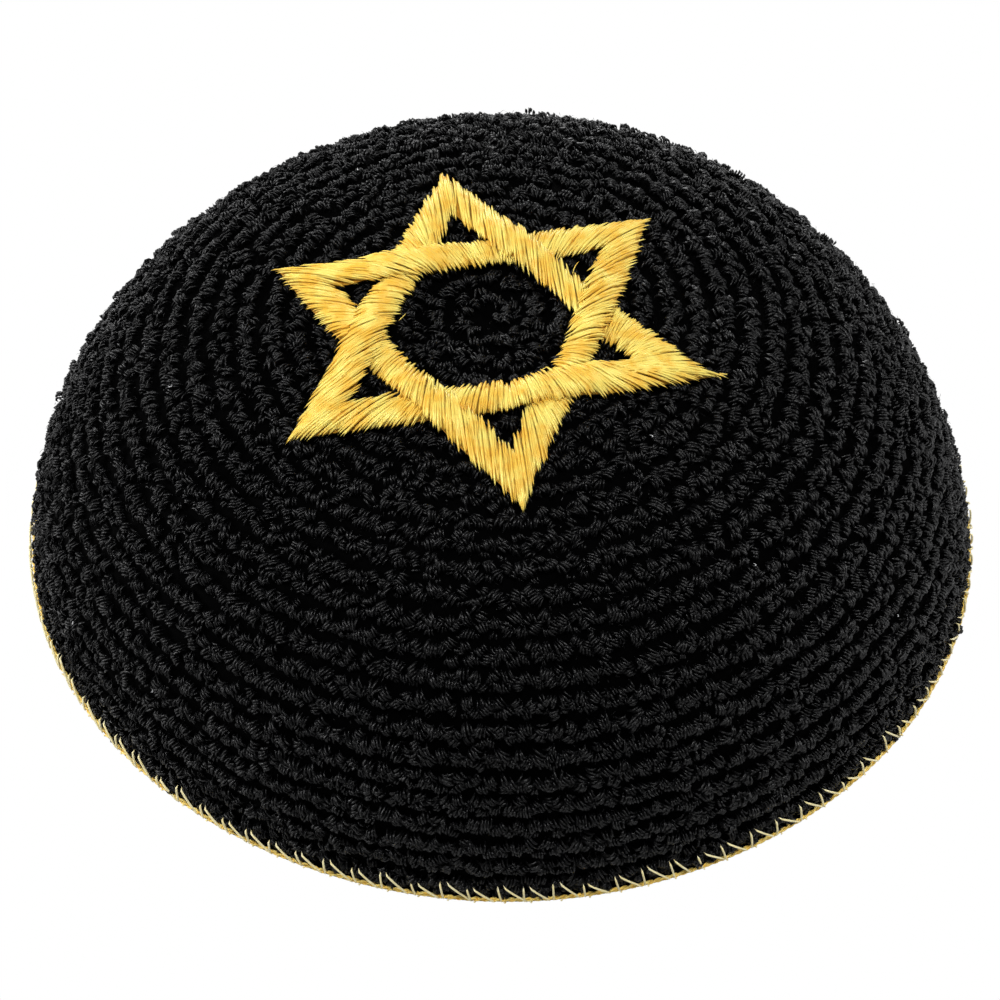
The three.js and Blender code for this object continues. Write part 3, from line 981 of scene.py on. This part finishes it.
def rim_cord(shape, settings):
    """Two pairs of twisted plies along the very foot, one outside and one just inside."""
    ply = settings.cord_radius / MM
    twists = pair_count(shape, settings)
    meshes = []
    for out, steps, pairs_for_twist in CORD_PAIRS:
        turn = np.arange(steps) / steps * math.tau
        for k in range(2):
            phase = turn * round(twists / pairs_for_twist) + k * math.pi
            path = rim_path(shape, out + 0.2 * np.cos(phase), 0.52 + 0.25 * np.sin(phase), turn)
            meshes.append(cord_loop(path, ply, np.array([0.0, 0.0, 1.0]), 5))
    return joined(meshes)


def rim_stitches(shape, settings, random):
    """Pairs of stitches up over the last round, one upright and one slanted, joined below."""
    tall = settings.stitch_height / MM
    count = pair_count(shape, settings)
    place = (np.arange(count) + random.normal(0, 0.07, count)) / count * math.tau
    high = tall * (1 + random.normal(0, 0.12, count))
    t = np.array([0.0, 0.1, 0.28, 0.5, 0.72, 0.9, 1.0])
    meshes = []
    for shift, slant, scale in RIM_LEGS:
        begin = place[:, None] + (shift + random.normal(0, 0.12, (count, 1))) / shape.radius
        run = (slant + random.normal(0, 0.3, (count, 1))) / shape.radius
        turn = begin + run * t
        height = 0.35 + (high * scale)[:, None] * (1 - t)
        lift = np.interp(t, (0.0, 0.08, 0.4, 1.0), (0.2, 0.74, 0.78, 0.56))
        path = shape.lifted(shape.arc_at_height(height), turn, lift)
        outward = unit(path * (1, 1, 0))
        wide = settings.stitch_radius / MM * np.array([0, 0.9, 1, 1, 1, 0.9, 0])
        meshes.append(strand_mesh(path, wide, outward + (0, 0, 0.1), 5))
    under = np.linspace(0, 1, 8)
    begin = place[:, None] + 0.9 / shape.radius
    turn = begin + 1.8 * under / shape.radius
    out = 0.6 - 2.9 * smooth(under, 0.1, 0.75)
    height = 0.16 + 1.9 * smooth(under, 0.6, 1.0) + 0.25 * (1 - smooth(under, 0.0, 0.2))
    path = rim_path(shape, out, height, turn)
    wide = settings.stitch_radius / MM * 0.9 * np.array([0, 0.9, 1, 1, 1, 1, 0.9, 0])
    meshes.append(strand_mesh(path, wide, np.array([0.02, 0.03, 1.0]), 5))
    return joined(meshes)


# Operators


def crown_shape():
    return CrownShape(bpy.context.scene.skullcap_crown.radius / MM)


class SKULLCAP_OT_crown(Operator):
    """Crochet the crown round by round over its backing shell"""

    bl_idname = "skullcap.crown"
    bl_label = "Crochet Crown"

    def execute(self, context):
        settings = context.scene.skullcap_crown
        shape = crown_shape()
        material = yarn_material(settings)
        rows = crest_line(shape, settings)
        if len(rows) < FEWEST_STITCHES:
            raise RuntimeError("the spiral has too few stitches")
        random = np.random.default_rng(CROWN_SEED)
        names = ("crown_rounds_top", "crown_rounds_upper", "crown_rounds_middle",
                 "crown_rounds_lower", "crown_rounds_rim")
        for name, part in zip(names, np.array_split(rows, len(names))):
            mesh_arrays = stitch_strands(shape, part, TUFTS, settings, random)
            make_piece(name, mesh_arrays, material, "crown")
        last_round = stitch_strands(shape, foot_line(shape, settings), FOOT_TUFTS, settings, random)
        make_piece("crown_foot", last_round, material, "crown")
        lining, inner_faces = lining_mesh(shape, settings)
        # The lining's outer faces take the yarn darkened as painted shade between the rounds; its
        # inner faces take the plain yarn
        piece = make_piece("crown_lining", lining, painted_shade_groove_material(settings), "crown")
        piece.data.materials.append(material)
        piece.data.polygons.foreach_set("material_index", inner_faces.astype(np.int32))
        return {"FINISHED"}


class SKULLCAP_OT_fuzz(Operator):
    """Add loose fibres and a few specks of lint"""

    bl_idname = "skullcap.fuzz"
    bl_label = "Add Fuzz"

    def execute(self, context):
        settings = context.scene.skullcap_crown
        shape = crown_shape()
        random = np.random.default_rng(FUZZ_SEED)
        fuzz = fuzz_mesh(shape, settings, random)
        make_piece("crown_fuzz", fuzz, yarn_material(settings), "crown")
        lint = thread_material("Pale Lint", *LINT_COLOURS, LINT)
        make_piece("crown_lint", lint_mesh(shape, random), lint, "crown")
        return {"FINISHED"}


class SKULLCAP_OT_star(Operator):
    """Embroider the two interlaced triangles"""

    bl_idname = "skullcap.star"
    bl_label = "Embroider Star"

    def execute(self, context):
        settings = context.scene.skullcap_star
        shape = crown_shape()
        random = np.random.default_rng(STAR_SEED)
        satin = thread_material(
            "Gold Satin Thread", settings.thread_deep, settings.thread_light, SATIN
        )
        # The padding is a real core; its colours, darker than the thread, are painted shade seen
        # between the threads
        padding = thread_material(
            "Star Padding in Painted Shade", settings.painted_shade_padding_deep, settings.painted_shade_padding_light, PADDING
        )
        for node, sides in STAR_TRIANGLES.items():
            threads = []
            for side in sides:
                following = next(other for other in STAR_SIDES if other.start == side.end)
                for sparse, sunk in THREAD_LAYERS:
                    threads.append(
                        side_threads(shape, side, following, settings, random, sparse, sunk)
                    )
            make_piece(node + "_threads", joined(threads), satin, node)
            core = padding_mesh(shape, sides, settings)
            make_piece(node + "_padding", core, padding, node)
        make_piece("star_loose_ends", stray_mesh(shape), satin,
                   "star_triangle_back")
        return {"FINISHED"}


class SKULLCAP_OT_edging(Operator):
    """Lay the metallic cord and its stitches round the rim"""

    bl_idname = "skullcap.edging"
    bl_label = "Edge Rim"

    def execute(self, context):
        settings = context.scene.skullcap_edging
        shape = crown_shape()
        random = np.random.default_rng(EDGING_SEED)
        cord = thread_material(
            "Gold Cord", settings.cord_deep, settings.cord_light, METALLIC_THREAD
        )
        make_piece("rim_cord", rim_cord(shape, settings), cord,
                   "rim_edging")
        thread = thread_material(
            "Gold Edge Thread", settings.stitch_deep, settings.stitch_light, METALLIC_THREAD
        )
        make_piece("rim_stitches", rim_stitches(shape, settings, random), thread,
                   "rim_edging")
        return {"FINISHED"}


def soft_lamp(name, place, size, power):
    """Round white area lamp that points at the cap."""
    data = bpy.data.lights.new(name, "AREA")
    data.shape = "DISK"
    data.size = size
    data.energy = power
    lamp = bpy.data.objects.new(name, data)
    lamp.location = place
    lamp.rotation_euler = (Vector(LAMP_AIM) - lamp.location).to_track_quat("-Z", "Y").to_euler()
    bpy.context.scene.collection.objects.link(lamp)


def seen_white(tree, dim, output):
    """Show white to the camera, pure white on the floor and light grey for the world, and give the
    object only the dim light.
    """
    rays = tree.nodes.new("ShaderNodeLightPath")
    white = tree.nodes.new("ShaderNodeEmission" if output.type == "OUTPUT_MATERIAL"
                           else "ShaderNodeBackground")
    mix = tree.nodes.new("ShaderNodeMixShader")
    tree.links.new(rays.outputs["Is Camera Ray"], mix.inputs["Fac"])
    tree.links.new(dim.outputs[0], mix.inputs[1])
    tree.links.new(white.outputs[0], mix.inputs[2])
    tree.links.new(mix.outputs[0], output.inputs["Surface"])


def floor_material(settings):
    material = bpy.data.materials.new("Pale Floor")
    material.use_nodes = True
    nodes = material.node_tree.nodes
    shader = nodes["Principled BSDF"]
    shader.inputs["Base Color"].default_value = (*settings.floor_colour, 1.0)
    shader.inputs["Roughness"].default_value = 0.9
    shader.inputs["Specular IOR Level"].default_value = 0.0
    seen_white(material.node_tree, shader, nodes["Material Output"])
    return material


def studio_world(settings):
    world = bpy.data.worlds.new("Studio")
    world.use_nodes = True
    nodes = world.node_tree.nodes
    nodes["Background"].inputs["Color"].default_value = (1, 1, 1, 1)
    nodes["Background"].inputs["Strength"].default_value = settings.daylight
    seen_white(world.node_tree, nodes["Background"], nodes["World Output"])
    return world


class SKULLCAP_OT_stage(Operator):
    """Set up the camera, the pale floor and the soft studio light"""

    bl_idname = "skullcap.stage"
    bl_label = "Set Stage"

    def execute(self, context):
        settings = context.scene.skullcap_stage
        mesh = bpy.data.meshes.new("floor")
        reach = FLOOR_REACH
        corners = [(-reach, -reach, 0), (reach, -reach, 0), (reach, reach, 0), (-reach, reach, 0)]
        mesh.from_pydata(corners, [], [(0, 1, 2, 3)])
        mesh.materials.append(floor_material(settings))
        floor = bpy.data.objects.new("floor", mesh)
        context.scene.collection.objects.link(floor)
        context.scene.world = studio_world(settings)
        for name, (place, size, power) in LAMPS.items():
            soft_lamp(name, place, size, power * settings.lamps)

        data = bpy.data.cameras.new("Camera")
        data.sensor_width = 36.0
        data.lens = settings.lens
        data.clip_start = 0.01
        camera = bpy.data.objects.new("Camera", data)
        aim = Vector(CAMERA_AIM)
        away = Vector((0, -math.cos(settings.elevation), math.sin(settings.elevation)))
        camera.location = aim + away * settings.distance
        camera.rotation_euler = (-away).to_track_quat("-Z", "Y").to_euler()
        context.scene.collection.objects.link(camera)
        context.scene.camera = camera
        context.scene.view_settings.view_transform = "Standard"
        return {"FINISHED"}


class SKULLCAP_PT_panel(Panel):
    """Sidebar panel with the cap's settings and steps"""

    bl_idname = "SKULLCAP_PT_panel"
    bl_label = "Crocheted Skullcap"
    bl_space_type = "VIEW_3D"
    bl_region_type = "UI"
    bl_category = "Skullcap"

    def draw(self, context):
        for name, _, operators in GROUPS:
            box = self.layout.box()
            settings = getattr(context.scene, name)
            for key in settings.__annotations__:
                box.prop(settings, key)
            for operator in operators:
                box.operator(operator.bl_idname)


GROUPS = (
    ("skullcap_crown", SkullcapCrownSettings, (SKULLCAP_OT_crown, SKULLCAP_OT_fuzz)),
    ("skullcap_star", SkullcapStarSettings, (SKULLCAP_OT_star,)),
    ("skullcap_edging", SkullcapEdgingSettings, (SKULLCAP_OT_edging,)),
    ("skullcap_stage", SkullcapStageSettings, (SKULLCAP_OT_stage,)),
)


def register():
    for name, settings, operators in GROUPS:
        bpy.utils.register_class(settings)
        for operator in operators:
            bpy.utils.register_class(operator)
        setattr(bpy.types.Scene, name, PointerProperty(type=settings))
    bpy.utils.register_class(SKULLCAP_PT_panel)


def unregister():
    bpy.utils.unregister_class(SKULLCAP_PT_panel)
    for name, settings, operators in reversed(GROUPS):
        delattr(bpy.types.Scene, name)
        for operator in reversed(operators):
            bpy.utils.unregister_class(operator)
        bpy.utils.unregister_class(settings)


def main():
    """Build the whole scene."""
    register()
    bpy.ops.skullcap.stage()
    bpy.ops.skullcap.crown()
    bpy.ops.skullcap.star()
    bpy.ops.skullcap.edging()
    bpy.ops.skullcap.fuzz()


if __name__ == "__main__":
    main()
